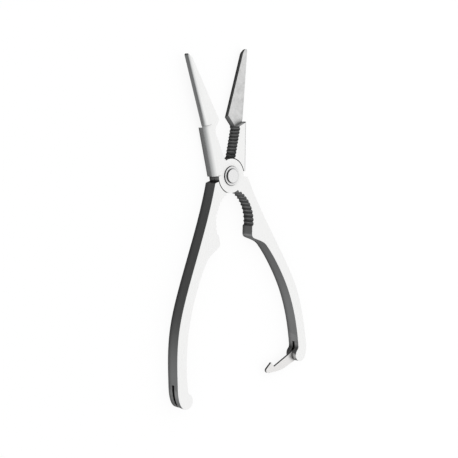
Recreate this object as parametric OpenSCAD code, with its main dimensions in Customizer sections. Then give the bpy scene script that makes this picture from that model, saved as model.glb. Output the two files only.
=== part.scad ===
// Fishing pliers: two crossed levers on a lap-joint pivot, bypass blades at the nose,
// scalloped gripping faces above and below the pivot, and a swinging catch at the handle ends.
// The tool lies on its back: X is across, Y points to the blade tips, Z is up through the thickness.
// The pivot axis is the Z axis, and Z = 0 is the back face that rests on the table.
// Outlines are drawn with the levers closed, for the lever on the left side of the centre line.

/* [Levers] */
// Thickness of both levers
body_t = 8.5; // [8.3:0.1:9.5]
// Half of the opening angle at rest, in degrees
open_half = 19; // [5:0.5:20]
// Radius of the round boss at the pivot
boss_r = 10.3; // [10:0.1:10.5]
// Gap between a boss and the lever that turns round it
boss_gap = 0.55; // [0.4:0.05:0.65]
// Gap left at each side of the centre line when the tool is closed
close_gap = 0.15; // [0.1:0.05:0.4]

/* [Blades] */
// Gap between the two blades where they pass, at half thickness
blade_gap = 0.1; // [0.05:0.05:0.3]
// How far the inner side of a blade is ground back at its outer face
blade_relief = 1.45; // [0.5:0.05:1.8]
// Radius of the blade's long outer edge
blade_round = 3.4; // [3.2:0.1:3.6]
// Radius of the jaw's long outer edge, on the same face as the blade's
jaw_round = 5.6; // [5:0.1:5.8]
// Radius of the long outer edge of the jaw on its other face
jaw_back_round = 2.2; // [1.8:0.1:2.4]

/* [Gripping faces] */
// Distance between the jaw scallops
jaw_pitch = 2.05; // [1.9:0.05:2.1]
// Number of scallops in each jaw
jaw_scallops = 9; // [5:1:9]
// Depth of the jaw scallops
jaw_scallop_depth = 0.75; // [0.4:0.05:0.9]
// Number of scallops in each handle, below the pivot
handle_scallops = 10; // [6:1:10]
// Depth of the handle scallops
handle_scallop_depth = 0.95; // [0.5:0.05:1.1]

/* [Pivot] */
// Outer radius of the pivot sleeve
sleeve_r = 3.5; // [3.2:0.1:3.6]
// Radius of the screw shank
screw_r = 2.5; // [2.2:0.1:2.6]
// Radius of the screw's button head
button_r = 4.4; // [4.2:0.1:4.7]
// Height of the screw's button head
button_h = 1.1; // [0.6:0.1:1.2]
// Radius of the washer under the button head
washer_r = 5.7; // [5.4:0.1:6]
// Thickness of the washer under the button head
washer_t = 0.9; // [0.5:0.05:0.9]

/* [Opening spring] */
// Wire diameter of the opening spring
wire_d = 1.2; // [0.9:0.05:1.2]
// Turns of the opening spring
spring_turns = 1.75; // [1.25:0.25:1.75]

/* [Catch] */
// Width of the slot in each handle end
slot_w = 2.0; // [2:0.05:2.4]
// Thickness of the catch plate
hook_t = 1.5; // [1.2:0.05:1.55]
// Angle that the catch points above the horizontal of the closed tool, at rest
hook_rest = 9; // [0:0.5:9]

/* [Hidden] */
$fn = 64;

through = 1;              // how far a cut runs past the face it opens
fit = 0.02;               // radial clearance of parts that turn or slide on each other
loose = 0.05;             // radial clearance of a washer or plate on its pin
end_gap = 0.1;            // left past the end of a pin, leg or sleeve in its hole
lap_gap = 0.3;            // space between the two lap faces
front_lap_z = (body_t + lap_gap) / 2;
rear_lap_z = (body_t - lap_gap) / 2;

jaw_scallop_r = 1.15;
jaw_scallop_first = 12.2;
grip_arc_centre = [14.9, -25];
grip_arc_r = 21;
grip_arc_from = 142;      // end of the arc near the boss, in degrees
grip_arc_to = 214.5;      // end of the arc at the hump
hump_r = 2.8;             // the humps of the two handles meet below the gripping arc
hump_centre = [-hump_r - close_gap, -42];
handle_scallop_r = 1.4;
handle_scallop_first = 146;
handle_scallop_step = 7;

bush_r = 4.4;
pocket_out_r = 7.4;
front_pocket_z = 7.0;     // ceiling of the spring pocket in the front lever
rear_pocket_z = 3.5;      // floor of the spring pocket in the rear lever
hub_r = 4.4;
counterbore_r = 5.8;
counterbore_d = 1.6;
sleeve_head_r = 5.5;
sleeve_head_z = 0.1;
sleeve_head_t = 1.2;
sleeve_bore_z = 2.4;      // floor of the sleeve's threaded hole
screw_bottom_z = 2.7;
button_step = 0.15;       // straight part of the button's side, below its rounding
button_edge = 0.75;       // width of the button's rounded edge
washer_z = body_t - 0.3;  // floor of the washer's seat in the front lever
washer_groove = 0.35;     // width of the groove left round the washer
sleeve_top_z = washer_z - end_gap;
spring_washer_r = 5.3;
spring_washer_t = 0.24;
lap_washer_r = 10;
lap_washer_in_r = pocket_out_r + 0.2;
driver_slot_w = 1.2;
driver_slot_d = 0.7;
coil_r = 5.9;
leg_hole_r = 0.75;
leg_l = 0.8;
coil_gap = 0.05;          // under the first turn
turn_gap = 0.02;          // between one turn and the next
coil_bottom_z = rear_pocket_z + coil_gap + wire_d / 2;
coil_rise = spring_turns * (wire_d + turn_gap);
coil_start = 200;         // angle of the spring leg in the rear lever
coil_end = coil_start + spring_turns * 360;

hook_pivot = [6.3, -136.7];
pin_r = 1.25;
pin_bottom_z = 0.3;
pin_top_z = 7.2;
latch_washer_r = 2.9;
latch_washer_t = 0.2;
slot_z = (body_t - slot_w) / 2;
slot_top = -127.8;        // where the slots in the handle ends stop

// ---- curves ----

// Points of a cubic Bezier, without its last point
function bezier(a, b, c, d, n) =
    [for (i = [0 : n - 1]) let (t = i / n, s = 1 - t)
        s * s * s * a + 3 * s * s * t * b + 3 * s * t * t * c + t * t * t * d];

// Points of an arc, both ends included
function arc(centre, r, from, to, n) =
    [for (i = [0 : n]) let (a = from + (to - from) * i / n) centre + r * [cos(a), sin(a)]];

function polar(r, a) = [r * cos(a), r * sin(a)];

// ---- outlines, left side, tool closed ----

shoulder_in = [-8.9, -5.0];
shoulder_out = [-12.0, -6.8];

handle_outline = concat(
    // outer side, from the shoulder to the end
    bezier(shoulder_out, [-12.4, -36], [-21.4, -70], [-21.4, -92], 30),
    bezier([-21.4, -92], [-21.4, -106], [-18.2, -117.5], [-15, -130], 16),
    bezier([-15, -130], [-13.6, -135.3], [-10.8, -141.2], [-6.3, -141.2], 12),
    // bulb at the end, then the notch above it
    arc([-6.3, -136.6], 4.6, -90, 66, 16),
    [[-5.8, -131.9]],
    // inner side, up to the hump
    bezier([-6.7, -130.9], [-10.8, -119], [-14.1, -105], [-14.1, -90], 20),
    bezier([-14.1, -90], [-14.1, -78], [-11.8, -63.5], [-9, -54.5], 18),
    bezier([-9, -54.5], [-8.1, -50.6], [-4.6, -47.8], hump_centre + polar(hump_r, -45), 10),
    arc(hump_centre, hump_r, -45, 30, 6),
    // scalloped arc below the pivot
    arc(grip_arc_centre, grip_arc_r, grip_arc_to, grip_arc_from, 20),
    // root, hidden in the boss
    [[-1.2, -9.5], [-1.2, -3], [-8, -2], shoulder_in]
);

shelf_in = [-close_gap, 30.3];
shelf_out = [-5.9, 34.6];
blade_corner = [6.5, 35.5];
blade_tip_in = [2.8, 73.5];
blade_tip_out = [-0.35, 77.1];
blade_tip_r = 0.8;
tip_curve_at = [1.94, 76.71];       // a point on the curve at the tip, and its direction there
tip_curve_along = [-3.25, 6.1];
blade_round_fade = 0.5;   // how far the blade's rounding has run out at its tip
blade_outer_low = [-5.85, 34.6];
jaw_outer_low = [-11.8, 5.9];

// Full-thickness part of the jaw, up to the sloping shelf
jaw_outline = [[-close_gap, 3], shelf_in, shelf_out, jaw_outer_low, [-11.5, 5.15], [-9.8, 4.7], [-4, 1]];

// Blade at the plane where the two blades pass
blade_outline = concat(
    [[-close_gap - 1, 22], [-close_gap - 1, 29], [-close_gap, 30.6], blade_corner],
    bezier(blade_tip_in, [2.5, 76.2], [1.6, 77.9], blade_tip_out + [blade_tip_r, blade_tip_r], 10),
    arc(blade_tip_out + [blade_tip_r, 0], blade_tip_r, 90, 180, 8),
    // root, hidden in the jaw
    [blade_outer_low, [-5.95, 33.8], [-5, 22]]
);

module jaw_2d() polygon(jaw_outline);
module blade_2d() polygon(blade_outline);
module handle_2d() polygon(handle_outline);
module boss_2d() circle(r = boss_r);

// ---- shared cuts ----

// Scallops in the left jaw's gripping face
module jaw_scallop_cut() {
    for (i = [0 : jaw_scallops - 1])
        translate([jaw_scallop_r - jaw_scallop_depth - close_gap,
                   jaw_scallop_first + i * jaw_pitch, -through])
            cylinder(r = jaw_scallop_r, h = body_t + 2 * through);
}

// Scallops in the left handle, below the pivot
module handle_scallop_cut() {
    for (i = [0 : handle_scallops - 1])
        translate(concat(grip_arc_centre + polar(grip_arc_r + handle_scallop_depth - handle_scallop_r,
                                                 handle_scallop_first + i * handle_scallop_step),
                         [-through]))
            cylinder(r = handle_scallop_r, h = body_t + 2 * through);
}

// Slot across the left handle's end, open at both sides and below
module end_slot_cut() {
    size = [30, 22.2, slot_w];    // wider and longer than the handle's end
    translate([5 - size[0], slot_top - size[1], slot_z]) cube(size);
}

// Rounds the long edge from one point to the next on the top face, with the metal on its right.
// The cutter leans away from the metal by fade over its length, so the rounding runs out.
module edge_round_cut(from, to, r, fade = 0) {
    along = to - from;
    lean = atan2(fade, norm(along));
    translate([from[0], from[1], body_t])
        rotate([0, 0, atan2(along[1], along[0]) - 90])
            rotate([lean, 0, lean])
                rotate([90, 0, 0])
                    translate([0, 0, -norm(along) - through])
                        linear_extrude(norm(along) + 2 * through)
                            difference() {
                                translate([-2 * through, -r]) square(r + 2 * through);
                                translate([r, -r]) circle(r = r);
                            }
}

// Grinds the blade's inner side back along a line, from nothing at the lap to the full relief at the face
module blade_relief_cut(from, to) {
    edge = to - from;
    block = [12, 60, 12];     // larger than the blade every way
    block_start = -8;         // the block begins this far before the first point
    translate([from[0], from[1], (body_t + blade_gap) / 2])
        rotate([0, 0, atan2(edge[1], edge[0]) - 90])
            rotate([0, -atan2(blade_relief, body_t / 2), 0])
                translate([0, block_start, -through]) cube(block);
}

// One forging: its jaw is on the left, its handle on the right, and its lap faces down.
// The other lever is the same forging turned over.
module lever_blank() {
    blade_z = (body_t + blade_gap) / 2;
    difference() {
        union() {
            linear_extrude(body_t)
                difference() {
                    union() {
                        jaw_2d();
                        mirror([1, 0]) handle_2d();
                    }
                    circle(r = boss_r + boss_gap);
                }
            translate([0, 0, front_lap_z])
                linear_extrude(body_t - front_lap_z)
                    union() {
                        boss_2d();
                        jaw_2d();
                        mirror([1, 0]) handle_2d();
                    }
            translate([0, 0, blade_z])
                linear_extrude(body_t - blade_z)
                    blade_2d();
        }
        blade_relief_cut(blade_corner, blade_tip_in);
        blade_relief_cut(tip_curve_at, tip_curve_at + tip_curve_along);
        edge_round_cut(jaw_outer_low, shelf_out, jaw_round);
        edge_round_cut(blade_outer_low, blade_tip_out, blade_round, blade_round_fade);
        translate([0, 0, body_t])
            mirror([0, 0, 1])
                edge_round_cut(jaw_outer_low, shelf_out, jaw_back_round);
        jaw_scallop_cut();
        mirror([1, 0, 0]) handle_scallop_cut();
        mirror([1, 0, 0]) end_slot_cut();
    }
}

// ---- parts ----

module front_lever() {
    color("gainsboro")
        rotate([0, 0, open_half])
            difference() {
                lever_blank();
                // bore for the sleeve
                translate([0, 0, front_lap_z - through])
                    cylinder(r = sleeve_r + fit, h = body_t);
                // seat of the front washer
                translate([0, 0, washer_z])
                    cylinder(r = washer_r + washer_groove, h = body_t);
                // spring pocket round the hub, with a hole for one spring leg
                translate([0, 0, front_lap_z - through])
                    difference() {
                        cylinder(r = pocket_out_r, h = front_pocket_z - front_lap_z + through);
                        translate([0, 0, -through]) cylinder(r = hub_r, h = body_t);
                    }
                rotate([0, 0, -open_half])
                    translate(concat(polar(coil_r, coil_end),
                                     [front_pocket_z - through]))
                        cylinder(r = leg_hole_r, h = leg_l + end_gap + through);
                // blind hole for the catch pin, drilled from the back
                translate([hook_pivot[0], hook_pivot[1], -through])
                    cylinder(r = pin_r + fit / 2, h = pin_top_z + end_gap + through);
            }
}

module rear_lever() {
    color("silver")
        rotate([0, 0, -open_half])
            difference() {
                translate([0, 0, body_t]) rotate([0, 180, 0]) lever_blank();
                // counterbore for the sleeve head, and the bush bore
                translate([0, 0, -through])
                    cylinder(r = counterbore_r, h = counterbore_d + through);
                translate([0, 0, -through])
                    cylinder(r = bush_r + fit / 2, h = body_t);
                // shallow spring pocket, with a hole for the other spring leg
                translate([0, 0, rear_pocket_z])
                    cylinder(r = pocket_out_r, h = body_t);
                rotate([0, 0, open_half])
                    translate(concat(polar(coil_r, coil_start), [rear_pocket_z - leg_l - end_gap]))
                        cylinder(r = leg_hole_r, h = leg_l + through);
            }
}

// Button-head screw, seen on the front of the boss
module pivot_screw() {
    head_z = washer_z + washer_t;
    edge_z = head_z + button_step;
    color("whitesmoke")
        rotate_extrude()
            polygon(concat(
                [[0, screw_bottom_z], [screw_r, screw_bottom_z], [screw_r, head_z],
                 [button_r, head_z], [button_r, edge_z]],
                [for (i = [1 : 6]) let (a = 15 * i)
                    [button_r - button_edge * (1 - cos(a)), edge_z + (button_h - button_step) * sin(a)]],
                [[0, head_z + button_h]]));
}

// Sleeve with a slotted head at the back; the screw threads into it
module pivot_sleeve() {
    color("silver")
        difference() {
            union() {
                translate([0, 0, sleeve_head_z]) cylinder(r = sleeve_head_r, h = sleeve_head_t);
                translate([0, 0, sleeve_head_z]) cylinder(r = sleeve_r, h = sleeve_top_z - sleeve_head_z);
            }
            translate([0, 0, sleeve_bore_z]) cylinder(r = screw_r + fit, h = body_t);
            translate([-driver_slot_w / 2, -sleeve_head_r - through, sleeve_head_z - through])
                cube([driver_slot_w, 2 * (sleeve_head_r + through), driver_slot_d + through]);
        }
}

module ring(r_out, r_in, t) {
    difference() {
        cylinder(r = r_out, h = t);
        translate([0, 0, -through]) cylinder(r = r_in, h = t + 2 * through);
    }
}

module front_washer() {
    color("whitesmoke")
        translate([0, 0, washer_z]) ring(washer_r, screw_r + loose, washer_t);
}

module rear_bush() {
    color("goldenrod")
        translate([0, 0, counterbore_d]) ring(bush_r, sleeve_r + fit, rear_lap_z - counterbore_d);
}

module lap_washer() {
    color("ivory")
        translate([0, 0, rear_lap_z + fit]) ring(lap_washer_r, lap_washer_in_r, lap_gap - 2 * fit);
}

module rear_spring_washer() {
    color("dimgray")
        translate([0, 0, sleeve_head_z + sleeve_head_t + fit])
            ring(spring_washer_r, sleeve_r + 2 * loose, spring_washer_t);
}

// Sweeps a ring of points along a path that climbs round the Z axis
function coil_path(n) = concat(
    [concat(polar(coil_r, coil_start), [coil_bottom_z - leg_l - wire_d / 2])],
    [for (i = [0 : n]) let (a = coil_start + spring_turns * 360 * i / n)
        concat(polar(coil_r, a), [coil_bottom_z + coil_rise * i / n])],
    [concat(polar(coil_r, coil_end), [coil_bottom_z + coil_rise + wire_d / 2 + leg_l])]);

// Torsion spring in the pocket between the laps, with an upright leg at each end
module opening_spring() {
    sides = 10;
    path = coil_path(42);
    last = len(path) - 1;
    // the legs stand upright, so their rings lie flat; the coil's rings stand in radial planes
    function ring_at(i) =
        let (p = path[i], a = atan2(p[1], p[0]), flat = i == 0 || i == last,
             out = [cos(a), sin(a), 0], along = [-sin(a), cos(a), 0])
        [for (k = [0 : sides - 1]) let (b = 360 * k / sides)
            p + wire_d / 2 * (cos(b) * out + sin(b) * (flat ? (i == 0 ? along : -along) : [0, 0, 1]))];
    points = [for (i = [0 : last]) each ring_at(i)];
    faces = concat(
        [[for (k = [0 : sides - 1]) k]],
        [for (i = [0 : last - 1]) for (k = [0 : sides - 1])
            let (next = (k + 1) % sides)
            [i * sides + k, (i + 1) * sides + k, (i + 1) * sides + next, i * sides + next]],
        [[for (k = [sides - 1 : -1 : 0]) last * sides + k]]);
    color("darkgray") polyhedron(points, faces);
}

// Catch plate, drawn with its arm along -X and its pivot at the origin
hook_outline = concat(
    arc([0, 0], 3.6, -90, 92, 14),
    // upper side, notch and barb
    [[-6, 2.9], [-22.0, 1.3], [-22.5, 1.6], [-23.8, 5.05], [-24.15, 5.1]],
    arc([-28.2, 1.7], 1.7, 100, 228, 8),
    // hollow underside
    bezier([-27.6, -0.6], [-24, -1.5], [-21, -3.1], [-14, -3.9], 8),
    [[-14, -3.9]]
);

module latch_hook() {
    color("gainsboro")
        rotate([0, 0, open_half])
            translate([hook_pivot[0], hook_pivot[1], (body_t - hook_t) / 2])
                rotate([0, 0, -hook_rest])
                    linear_extrude(hook_t)
                        difference() {
                            polygon(hook_outline);
                            circle(r = pin_r + loose);
                        }
}

module at_hook_pivot(z) {
    rotate([0, 0, open_half]) translate([hook_pivot[0], hook_pivot[1], z]) children();
}

module latch_pin() {
    color("silver")
        at_hook_pivot(pin_bottom_z) cylinder(r = pin_r, h = pin_top_z - pin_bottom_z);
}

module latch_washer_front() {
    color("ivory")
        at_hook_pivot(slot_z + slot_w - latch_washer_t - fit)
            ring(latch_washer_r, pin_r + loose, latch_washer_t);
}

module latch_washer_rear() {
    color("ivory")
        at_hook_pivot(slot_z + fit)
            ring(latch_washer_r, pin_r + loose, latch_washer_t);
}

front_lever();
rear_lever();
pivot_screw();
pivot_sleeve();
front_washer();
rear_bush();
lap_washer();
rear_spring_washer();
opening_spring();
latch_hook();
latch_pin();
latch_washer_front();
latch_washer_rear();
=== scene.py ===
"""Fishing pliers, shown open on a pale studio floor.

Every visible piece is a CAD node, apart from the opening spring, which is shown by a smooth-shaded copy.
This script gives each one softened edges and a procedural metal or polymer material,
then sets the camera, the floor and the light.
Sizes are in metres, in the frame of the CAD model.
"""
import math

import bpy
from mathutils import Matrix, Vector


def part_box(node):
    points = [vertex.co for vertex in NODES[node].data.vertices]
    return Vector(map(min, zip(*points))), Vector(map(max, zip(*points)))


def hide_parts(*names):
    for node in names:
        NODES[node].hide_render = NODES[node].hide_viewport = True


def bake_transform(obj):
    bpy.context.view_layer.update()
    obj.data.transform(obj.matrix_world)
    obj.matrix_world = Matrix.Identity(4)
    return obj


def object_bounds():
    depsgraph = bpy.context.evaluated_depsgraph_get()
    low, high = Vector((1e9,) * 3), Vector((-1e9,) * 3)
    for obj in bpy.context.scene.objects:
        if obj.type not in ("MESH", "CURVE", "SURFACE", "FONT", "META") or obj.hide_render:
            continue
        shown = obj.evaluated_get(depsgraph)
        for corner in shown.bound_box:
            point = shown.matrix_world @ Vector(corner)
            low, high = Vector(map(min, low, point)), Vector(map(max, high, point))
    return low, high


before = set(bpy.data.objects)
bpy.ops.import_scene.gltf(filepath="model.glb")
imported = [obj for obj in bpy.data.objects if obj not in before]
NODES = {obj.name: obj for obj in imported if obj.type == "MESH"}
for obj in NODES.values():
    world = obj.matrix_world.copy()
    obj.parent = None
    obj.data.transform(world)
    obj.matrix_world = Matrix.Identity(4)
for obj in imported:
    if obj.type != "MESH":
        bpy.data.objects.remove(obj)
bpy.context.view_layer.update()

SCENE = bpy.context.scene
MM = 0.001

# Camera: angles from the levers' front face, and where the pivot stands in the view
CAMERA_TURN = math.radians(43.25)
CAMERA_RAISE = math.radians(10.80)
CAMERA_ROLL = math.radians(-4.55)
PIVOT_DEPTH = 0.5397
PIVOT_RIGHT = 0.0015
PIVOT_UP = 0.0319
LENS = 70.7
SENSOR = 36.0

OPEN_HALF = math.radians(19)      # how far each lever is turned from the centre line at rest

# Where the two blades pass each other: the band of heights that holds both lap faces
LEVER_BACK, LEVER_FACE = (corner.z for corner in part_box("front_lever"))
LAP_HEIGHT = (LEVER_BACK + LEVER_FACE) / 2
LAP_HALF_WIDTH = 0.4 * MM

# Painted shade in grooves, slots and joints, from the occlusion of the surface: how far it reaches, how
# open a spot is where the shade is darkest and where it is gone, and the shade's tone
PAINTED_SHADE_SAMPLES = 8
PAINTED_SHADE_REACH = 4.0 * MM
PAINTED_SHADE_DARKEST = 0.28
PAINTED_SHADE_GONE = 0.94
PAINTED_SHADE_TONE = (0.030, 0.031, 0.030)

# How square to the pivot axis a surface is where a side ends and where a face begins
SIDE_ENDS = 0.55
FACE_BEGINS = 0.85
# Blender's pointiness where the wear of an edge begins and is full
WEAR_BEGINS = 0.50
WEAR_FULL = 0.56
WEAR_SHARE = 0.35                 # how much of the worn tone an edge takes
WEAR_POLISH = 0.18                # how much smoother a worn edge is

# Tones of the levers; the darker side tone is partly the sides' tumbled finish and partly painted shade
STEEL_FACE = (0.91, 0.91, 0.905)
STEEL_SIDE_SHADED = (0.52, 0.53, 0.53)

# Edge softening. Slivers narrower than the second weld are closed again after the bevel.
WELD_BEFORE = 0.001 * MM
WELD_AFTER = 0.002 * MM
FLAT_ANGLE = math.radians(0.5)
SHARP_ANGLE = math.radians(32)

FLOOR_HALF = 3.0
FLOOR_GAP = 0.2 * MM
FLOOR_GLOW = 0.88

# How bright the room below the tool is, as its sides see it: towards the tips, and towards the handles
ROOM_BELOW = (0.085, 0.20)
# A pale patch in that room: its direction, how bright it is, and the cosines where it starts and is full
PATCH_TOWARDS = (-0.55, -0.38, -0.715)
PATCH_GLOW = 0.17
PATCH_RIM = 0.87
PATCH_CORE = 0.985


# ---- node helpers ----

def scaled(tone, share):
    return [channel * share for channel in tone]


def map_range(tree, value, low, high, to_low, to_high):
    node = tree.nodes.new("ShaderNodeMapRange")
    tree.links.new(value, node.inputs["Value"])
    for socket, number in zip(("From Min", "From Max", "To Min", "To Max"), (low, high, to_low, to_high)):
        node.inputs[socket].default_value = number
    return node


class Graph:
    """A material's node tree, with short calls for the nodes that the materials share."""

    def __init__(self, name):
        self.material = bpy.data.materials.new(name)
        self.material.use_nodes = True
        self.nodes = self.material.node_tree.nodes
        self.links = self.material.node_tree.links
        self.shader = self.nodes["Principled BSDF"]
        self.place = self.nodes.new("ShaderNodeTexCoord").outputs["Object"]

    def set(self, **values):
        for socket, value in values.items():
            self.shader.inputs[socket.replace("_", " ")].default_value = value

    def link(self, source, socket):
        self.links.new(source, self.shader.inputs[socket])

    def mapped(self, scale, rotation=(0, 0, 0)):
        node = self.nodes.new("ShaderNodeMapping")
        node.inputs["Scale"].default_value = scale
        node.inputs["Rotation"].default_value = rotation
        self.links.new(self.place, node.inputs["Vector"])
        return node.outputs["Vector"]

    def noise(self, vector, scale=1.0, detail=4.0, roughness=0.55):
        node = self.nodes.new("ShaderNodeTexNoise")
        node.inputs["Scale"].default_value = scale
        node.inputs["Detail"].default_value = detail
        node.inputs["Roughness"].default_value = roughness
        self.links.new(vector, node.inputs["Vector"])
        return node.outputs["Fac"]

    def ranged(self, value, low, high, to_low, to_high):
        return map_range(self.material.node_tree, value, low, high, to_low, to_high).outputs["Result"]

    def math(self, operation, a, b):
        node = self.nodes.new("ShaderNodeMath")
        node.operation = operation
        for socket, value in zip(node.inputs, (a, b)):
            if isinstance(value, (int, float)):
                socket.default_value = value
            else:
                self.links.new(value, socket)
        return node.outputs["Value"]

    def mix(self, factor, a, b, blend="MIX"):
        """A mix of two colours. Each of the three is a socket or a plain value."""
        node = self.nodes.new("ShaderNodeMix")
        node.data_type = "RGBA"
        node.blend_type = blend
        for name, value in (("Factor", factor), ("A", a), ("B", b)):
            if isinstance(value, bpy.types.NodeSocket):
                self.links.new(value, node.inputs[name])
            else:
                node.inputs[name].default_value = value
        return node.outputs["Result"]

    def tones(self, value, dark, light):
        return self.mix(value, (*dark, 1), (*light, 1))

    def with_painted_shade(self, color, reach):
        """The colour darkened by painted shade in its grooves, slots and joints."""
        return self.mix(1.0, color, self.tones(self.painted_shade_mask(reach), PAINTED_SHADE_TONE, (1, 1, 1)), "MULTIPLY")

    def bump(self, height, distance, strength=1.0):
        node = self.nodes.new("ShaderNodeBump")
        node.inputs["Strength"].default_value = strength
        node.inputs["Distance"].default_value = distance
        self.links.new(height, node.inputs["Height"])
        self.links.new(node.outputs["Normal"], self.shader.inputs["Normal"])

    def painted_shade_mask(self, reach):
        """Painted shade: 1 in the open, and down to 0 in grooves, slots and joints narrower than about
        reach.
        """
        node = self.nodes.new("ShaderNodeAmbientOcclusion")
        node.samples = PAINTED_SHADE_SAMPLES
        node.inputs["Distance"].default_value = reach
        return self.ranged(node.outputs["AO"], PAINTED_SHADE_DARKEST, PAINTED_SHADE_GONE, 0.0, 1.0)

    def edge_wear(self):
        """1 on convex edges, where handling polishes the metal, and 0 on the flats."""
        geometry = self.nodes.new("ShaderNodeNewGeometry")
        return self.ranged(geometry.outputs["Pointiness"], WEAR_BEGINS, WEAR_FULL, 0.0, 1.0)

    def facing_up(self):
        """1 on faces square to the pivot axis and 0 on the sides, from the surface itself."""
        geometry = self.nodes.new("ShaderNodeNewGeometry")
        split = self.nodes.new("ShaderNodeSeparateXYZ")
        self.links.new(geometry.outputs["Normal"], split.inputs["Vector"])
        square = self.math("ABSOLUTE", split.outputs["Z"], 0.0)
        return self.ranged(square, SIDE_ENDS, FACE_BEGINS, 0.0, 1.0)

    def near_height(self, height, half_width):
        """1 where the surface lies within half_width of a height above the table, and 0 elsewhere."""
        split = self.nodes.new("ShaderNodeSeparateXYZ")
        self.links.new(self.place, split.inputs["Vector"])
        away = self.math("ABSOLUTE", self.math("SUBTRACT", split.outputs["Z"], height), 0.0)
        return self.math("LESS_THAN", away, half_width)


def ground_steel(name, angle, face_tone, side_tone_shaded):
    """Forged stainless: faces ground along the lever, sides left rougher, and darker partly from their
    tumbled finish and partly from painted shade.
    """
    g = Graph(name)
    along = g.mapped((9000, 350, 900), (0, 0, angle))
    grain = g.noise(along, 1.0, 6.0, 0.65)
    fine = g.noise(g.mapped((2600, 2600, 2600)), 1.0, 3.0)
    cloud = g.noise(g.mapped((60, 60, 60)), 1.0, 2.0)
    face = g.facing_up()
    ground = g.tones(g.ranged(grain, 0.3, 0.7, 0.0, 1.0), scaled(face_tone, 0.93), face_tone)
    tumbled_and_shaded = g.tones(g.ranged(fine, 0.3, 0.7, 0.0, 1.0), scaled(side_tone_shaded, 0.82), side_tone_shaded)
    lap = g.math("MULTIPLY", face, g.near_height(LAP_HEIGHT, LAP_HALF_WIDTH))
    scratch = g.noise(g.mapped((500, 9000, 900), (0, 0, angle)), 1.0, 5.0, 0.7)
    mottle = g.noise(g.mapped((330, 330, 330)), 1.0, 3.0, 0.6)
    lap_mark = g.math("ADD", g.math("MULTIPLY", scratch, 0.5), g.math("MULTIPLY", mottle, 0.5))
    lapped = g.tones(g.ranged(lap_mark, 0.38, 0.62, 0.0, 1.0),
                     scaled(face_tone, 0.52), scaled(face_tone, 0.74))
    # The sides take the darker side tone, partly tumbled finish and partly painted shade
    steel = g.mix(lap, g.mix(face, tumbled_and_shaded, ground), lapped)
    worn = g.math("MULTIPLY", g.edge_wear(), WEAR_SHARE)
    bright = g.tones(cloud, face_tone, scaled(face_tone, 1.06))
    # Base colour with painted shade in grooves, slots, teeth and joints
    g.link(g.with_painted_shade(g.mix(worn, steel, bright), PAINTED_SHADE_REACH), "Base Color")
    g.set(Metallic=1.0, Anisotropic=0.35)
    rough_face = g.ranged(grain, 0.2, 0.8, 0.27, 0.40)
    rough_side = g.ranged(fine, 0.2, 0.8, 0.30, 0.44)
    mixed = g.math("ADD", g.math("MULTIPLY", rough_face, face),
                   g.math("MULTIPLY", rough_side, g.math("SUBTRACT", 1.0, face)))
    g.link(g.math("SUBTRACT", mixed, g.math("MULTIPLY", worn, WEAR_POLISH)), "Roughness")
    g.bump(g.math("ADD", g.math("MULTIPLY", grain, 0.6), g.math("MULTIPLY", fine, 0.4)), 0.012 * MM, 0.5)
    return g.material


def turned_steel(name, tone, side_tone_shaded, rough_low, rough_high):
    """Lathe-turned stainless: fine rings about the pivot axis, with sides darkened by painted shade."""
    g = Graph(name)
    rings = g.nodes.new("ShaderNodeTexWave")
    rings.wave_type = "RINGS"
    rings.rings_direction = "Z"
    rings.inputs["Scale"].default_value = 900
    rings.inputs["Distortion"].default_value = 0.6
    rings.inputs["Detail"].default_value = 2.0
    g.links.new(g.place, rings.inputs["Vector"])
    speck = g.noise(g.mapped((3200, 3200, 3200)), 1.0, 3.0)
    mark = g.math("ADD", g.math("MULTIPLY", rings.outputs["Fac"], 0.5), g.math("MULTIPLY", speck, 0.5))
    top = g.tones(mark, scaled(tone, 0.92), tone)
    side = g.tones(mark, scaled(side_tone_shaded, 0.85), side_tone_shaded)
    # The sides take the darker side tone, which is painted shade
    steel = g.mix(g.facing_up(), side, top)
    # Base colour with painted shade in grooves and joints
    g.link(g.with_painted_shade(steel, 0.5 * PAINTED_SHADE_REACH), "Base Color")
    g.set(Metallic=1.0)
    g.link(g.ranged(mark, 0.2, 0.8, rough_low, rough_high), "Roughness")
    g.bump(mark, 0.004 * MM, 0.4)
    return g.material


def spring_wire():
    """Drawn wire: dark oiled steel with lengthwise drawing marks."""
    g = Graph("spring_wire")
    drawn = g.noise(g.mapped((900, 900, 7000)), 1.0, 5.0)
    g.link(g.tones(drawn, (0.16, 0.16, 0.17), (0.36, 0.36, 0.37)), "Base Color")
    g.set(Metallic=1.0)
    g.link(g.ranged(drawn, 0.2, 0.8, 0.25, 0.42), "Roughness")
    g.bump(drawn, 0.006 * MM, 0.5)
    return g.material


def sintered_bronze():
    """Oil-filled bronze, with open pores."""
    g = Graph("sintered_bronze")
    pore = g.noise(g.mapped((5200, 5200, 5200)), 1.0, 2.0)
    open_or_flat = g.ranged(pore, 0.35, 0.55, 0.0, 1.0)
    g.link(g.tones(open_or_flat, (0.30, 0.20, 0.08), (0.62, 0.44, 0.20)), "Base Color")
    g.set(Metallic=1.0)
    g.link(g.ranged(pore, 0.3, 0.7, 0.58, 0.36), "Roughness")
    g.bump(pore, 0.02 * MM, 0.6)
    return g.material


def washer_polymer():
    """Moulded acetal, slightly waxy, with a fine moulding texture."""
    g = Graph("washer_polymer")
    grain = g.noise(g.mapped((3600, 3600, 3600)), 1.0, 3.0)
    g.link(g.tones(grain, (0.74, 0.71, 0.62), (0.84, 0.82, 0.74)), "Base Color")
    g.set(Subsurface_Weight=0.05)
    g.link(g.ranged(grain, 0.2, 0.8, 0.38, 0.52), "Roughness")
    g.bump(grain, 0.01 * MM, 0.4)
    return g.material


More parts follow.
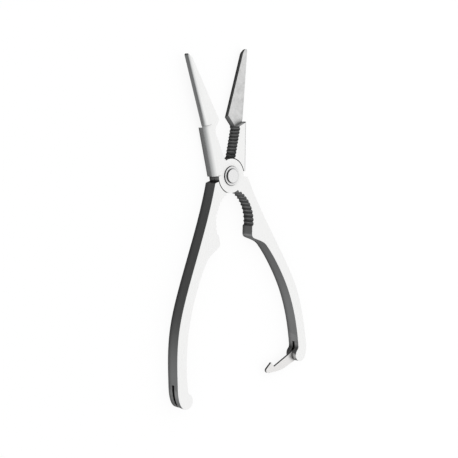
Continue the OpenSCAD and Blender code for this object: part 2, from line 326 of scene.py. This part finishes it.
def give(node, material, bevel, segments=3):
    """Gives a CAD node its material and softens its sharp edges."""
    piece = NODES[node]
    piece.data.materials.clear()
    piece.data.materials.append(material)
    merge = piece.modifiers.new("merge", "WELD")
    merge.merge_threshold = WELD_BEFORE
    flat = piece.modifiers.new("flat", "DECIMATE")
    flat.decimate_type = "DISSOLVE"
    flat.angle_limit = FLAT_ANGLE
    soft = piece.modifiers.new("soft", "BEVEL")
    soft.width = bevel
    soft.segments = segments
    soft.limit_method = "ANGLE"
    soft.angle_limit = SHARP_ANGLE
    mend = piece.modifiers.new("mend", "WELD")
    mend.merge_threshold = WELD_AFTER
    piece.data.shade_smooth()
    normals = piece.modifiers.new("normals", "WEIGHTED_NORMAL")
    normals.weight = 100


# The second tone passed to each is the sides' tone, partly tumbled finish and partly painted shade
give("front_lever", ground_steel("front_steel", OPEN_HALF, STEEL_FACE, STEEL_SIDE_SHADED), 0.34 * MM)
give("rear_lever", ground_steel("rear_steel", -OPEN_HALF, STEEL_FACE, STEEL_SIDE_SHADED), 0.34 * MM)
give("latch_hook", ground_steel("hook_steel", OPEN_HALF, (0.82, 0.81, 0.80), (0.40, 0.41, 0.41)), 0.12 * MM)

# The second tone of each is the sides' painted shade, almost black on the polished steel
polished = turned_steel("polished_steel", (0.84, 0.84, 0.84), (0.10, 0.10, 0.10), 0.16, 0.28)
turned = turned_steel("turned_steel", (0.72, 0.72, 0.73), (0.40, 0.40, 0.41), 0.26, 0.38)
polymer = washer_polymer()
wire = spring_wire()
give("pivot_screw", polished, 0.10 * MM)
give("front_washer", polished, 0.06 * MM)
give("pivot_sleeve", turned, 0.10 * MM)
give("latch_pin", turned, 0.10 * MM)
give("rear_spring_washer", wire, 0.03 * MM, 2)
give("rear_bush", sintered_bronze(), 0.08 * MM)
for washer in ("lap_washer", "latch_washer_front", "latch_washer_rear"):
    give(washer, polymer, 0.03 * MM, 2)


def add_spring_coil(material):
    """The opening spring, shown by a smooth-shaded copy of its CAD mesh in the wire material; the CAD node
    itself is hidden."""
    mesh = NODES["opening_spring"].data.copy()
    mesh.materials.clear()
    mesh.materials.append(material)
    mesh.shade_smooth()
    coil = bpy.data.objects.new("spring_coil", mesh)
    SCENE.collection.objects.link(coil)
    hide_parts("opening_spring")
    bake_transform(coil)


add_spring_coil(wire)


# ---- stage ----

def add_camera():
    to_camera = Vector((-math.sin(CAMERA_TURN) * math.cos(CAMERA_RAISE),
                        math.sin(CAMERA_RAISE),
                        math.cos(CAMERA_TURN) * math.cos(CAMERA_RAISE)))
    forward = -to_camera
    level = forward.cross(Vector((0, 1, 0))).normalized()
    above = level.cross(forward)
    right = level * math.cos(CAMERA_ROLL) + above * math.sin(CAMERA_ROLL)
    up = above * math.cos(CAMERA_ROLL) - level * math.sin(CAMERA_ROLL)
    pivot = Vector((0, 0, LEVER_FACE))
    place = pivot - right * PIVOT_RIGHT - up * PIVOT_UP - forward * PIVOT_DEPTH
    data = bpy.data.cameras.new("camera")
    data.lens = LENS
    data.sensor_width = SENSOR
    data.clip_start = 0.01
    camera = bpy.data.objects.new("camera", data)
    turn = Matrix((right, up, to_camera)).transposed().to_4x4()
    camera.matrix_world = Matrix.Translation(place) @ turn
    SCENE.collection.objects.link(camera)
    SCENE.camera = camera


def add_floor():
    """A pale sheet just below the part. It glows a little, so the levers throw no hard shadow."""
    mesh = bpy.data.meshes.new("floor")
    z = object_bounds()[0][2] - FLOOR_GAP
    corners = [(x * FLOOR_HALF, y * FLOOR_HALF, z) for x, y in ((-1, -1), (1, -1), (1, 1), (-1, 1))]
    mesh.from_pydata(corners, [], [(0, 1, 2, 3)])
    floor = bpy.data.objects.new("floor", mesh)
    SCENE.collection.objects.link(floor)
    g = Graph("floor_paper")
    g.set(Base_Color=(0.10, 0.10, 0.10, 1), Roughness=0.9,
          Emission_Color=(1, 1, 1, 1), Emission_Strength=FLOOR_GLOW)
    floor.data.materials.append(g.material)
    floor.visible_glossy = False


def add_world():
    """A white studio above and a dark room below, lighter towards the handles, as the metal sees them."""
    world = bpy.data.worlds.new("studio")
    world.use_nodes = True
    nodes, links = world.node_tree.nodes, world.node_tree.links
    split = nodes.new("ShaderNodeSeparateXYZ")
    direction = nodes.new("ShaderNodeTexCoord").outputs["Generated"]
    links.new(direction, split.inputs["Vector"])

    def ranged(source, low, high, to_low, to_high):
        node = map_range(world.node_tree, source, low, high, to_low, to_high)
        node.interpolation_type = "SMOOTHSTEP"
        return node.outputs["Result"]

    towards = nodes.new("ShaderNodeVectorMath")
    towards.operation = "DOT_PRODUCT"
    towards.inputs[1].default_value = PATCH_TOWARDS
    links.new(direction, towards.inputs[0])
    below = nodes.new("ShaderNodeMath")
    links.new(ranged(split.outputs["Y"], 0.45, -0.55, *ROOM_BELOW), below.inputs[0])
    links.new(ranged(towards.outputs["Value"], PATCH_RIM, PATCH_CORE, 0.0, PATCH_GLOW), below.inputs[1])
    above = ranged(split.outputs["Z"], -0.35, 0.40, 0.0, 1.0)
    mix = nodes.new("ShaderNodeMix")
    mix.data_type = "FLOAT"
    mix.inputs["B"].default_value = 1.0
    links.new(above, mix.inputs["Factor"])
    links.new(below.outputs["Value"], mix.inputs["A"])
    links.new(mix.outputs["Result"], nodes["Background"].inputs["Color"])
    SCENE.world = world


def add_soft_light(name, place, aim, size, power):
    data = bpy.data.lights.new(name, "AREA")
    data.shape = "DISK"
    data.size = size
    data.energy = power
    light = bpy.data.objects.new(name, data)
    light.location = place
    light.rotation_euler = (Vector(aim) - Vector(place)).to_track_quat("-Z", "Y").to_euler()
    SCENE.collection.objects.link(light)


add_camera()
add_floor()
add_world()
add_soft_light("key", (-0.6, 0.9, 1.2), (0, -0.03, 0), 0.5, 1.5)

SCENE.view_settings.view_transform = "Standard"
SCENE.view_settings.look = "None"
